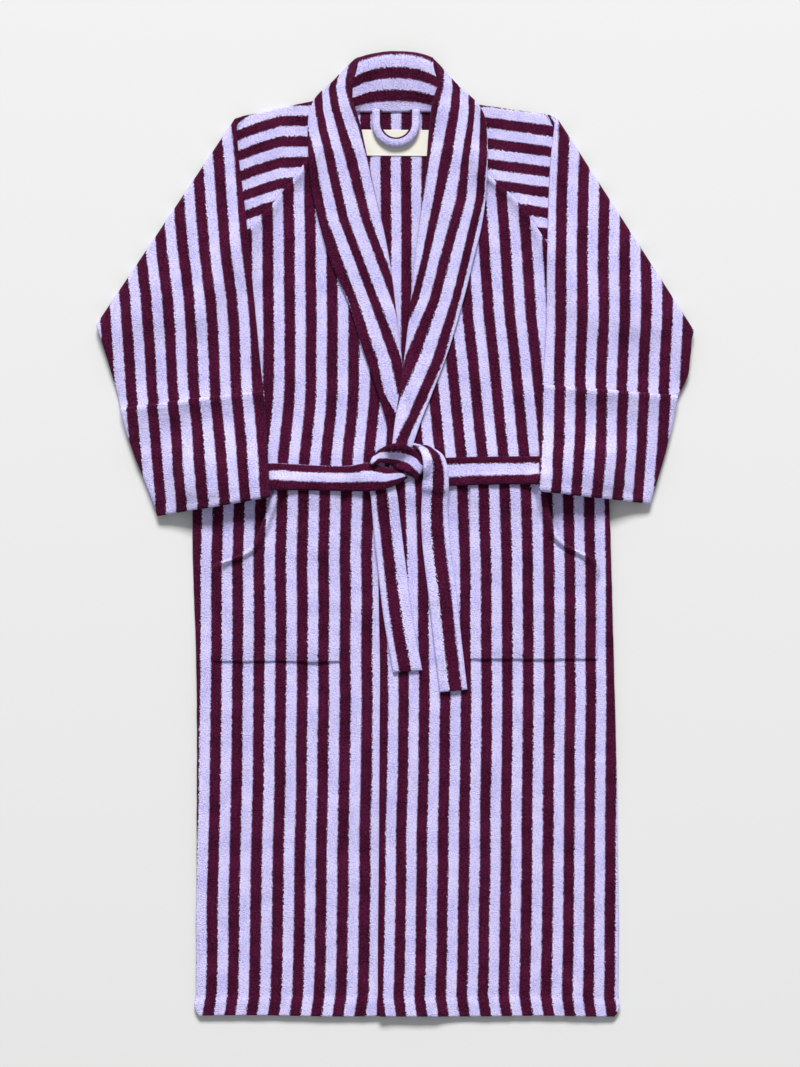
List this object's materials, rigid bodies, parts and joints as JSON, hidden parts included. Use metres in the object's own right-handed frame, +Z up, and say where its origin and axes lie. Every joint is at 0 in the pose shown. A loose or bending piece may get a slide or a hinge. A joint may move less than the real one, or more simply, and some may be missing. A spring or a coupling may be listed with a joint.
{
  "type": "bathrobe",
  "caption": "Striped terry bathrobe with a shawl collar, patch pockets and a tied belt, laid on its back with its sleeves folded over the front.",
  "frame": {"origin": "on the surface that the robe lies on, under the middle of its bounding box", "axes": "+Y from the hem to the collar, +X to the wearer's left, +Z up out of the robe's front"},
  "size_m": [0.782, 1.266, 0.0456],
  "materials": {
    "lavender_terry": "cotton terry with uncut loops, in lengthwise stripes of lavender and maroon",
    "maroon_terry": "the same striped cotton terry, doubled, as in the collar and the belt",
    "woven_label": "smooth woven label, blank"
  },
  "bodies": {
    "root": {"back_panel": "lavender_terry", "front_panel_left": "lavender_terry", "front_panel_right": "lavender_terry", "collar_back": "lavender_terry", "pocket_left": "lavender_terry", "pocket_right": "lavender_terry", "belt_loop_left": "lavender_terry", "belt_loop_right": "lavender_terry", "sleeve_right_back_upper": "lavender_terry", "sleeve_right_front_upper": "lavender_terry", "sleeve_left_back_upper": "lavender_terry", "sleeve_left_front_upper": "lavender_terry", "collar_band_left": "maroon_terry", "collar_band_right": "maroon_terry", "belt_back_run": "maroon_terry", "belt_front_left": "maroon_terry", "belt_front_right": "maroon_terry", "belt_knot": "maroon_terry", "neck_label": "woven_label"},
    "sleeve_right": {"sleeve_right_front_lower": "lavender_terry", "sleeve_right_back_lower": "lavender_terry", "cuff_right_front": "lavender_terry", "cuff_right_back": "lavender_terry"},
    "sleeve_left": {"sleeve_left_front_lower": "lavender_terry", "sleeve_left_back_lower": "lavender_terry", "cuff_left_front": "lavender_terry", "cuff_left_back": "lavender_terry"},
    "hanging_loop": {"hanging_loop": "lavender_terry"},
    "belt_tail_right": {"belt_tail_right": "maroon_terry"},
    "belt_tail_left": {"belt_tail_left": "maroon_terry"}
  },
  "joints": [
    {"name": "sleeve_right_unfold", "type": "hinge", "parent": "root", "child": "sleeve_right", "pos_m": [-0.3005, 0.411, 0.0069], "axis": [-0.5582, -0.8297, 0], "range_deg": [0, 160]},
    {"name": "sleeve_left_unfold", "type": "hinge", "parent": "root", "child": "sleeve_left", "pos_m": [0.3015, 0.4085, 0.0069], "axis": [-0.5415, 0.8407, 0], "range_deg": [0, 160]},
    {"name": "hanging_loop_swing", "type": "hinge", "parent": "root", "child": "hanging_loop", "pos_m": [0.0013, 0.548, 0.00915], "axis": [-1, 0, 0], "range_deg": [0, 115]},
    {"name": "belt_tail_right_lift", "type": "hinge", "parent": "root", "child": "belt_tail_right", "pos_m": [-0.014, 0.055, 0.0227], "axis": [-1, 0, 0], "range_deg": [0, 90]},
    {"name": "belt_tail_left_lift", "type": "hinge", "parent": "root", "child": "belt_tail_left", "pos_m": [0.052, 0.055, 0.0227], "axis": [-1, 0, 0], "range_deg": [0, 90]}
  ]
}
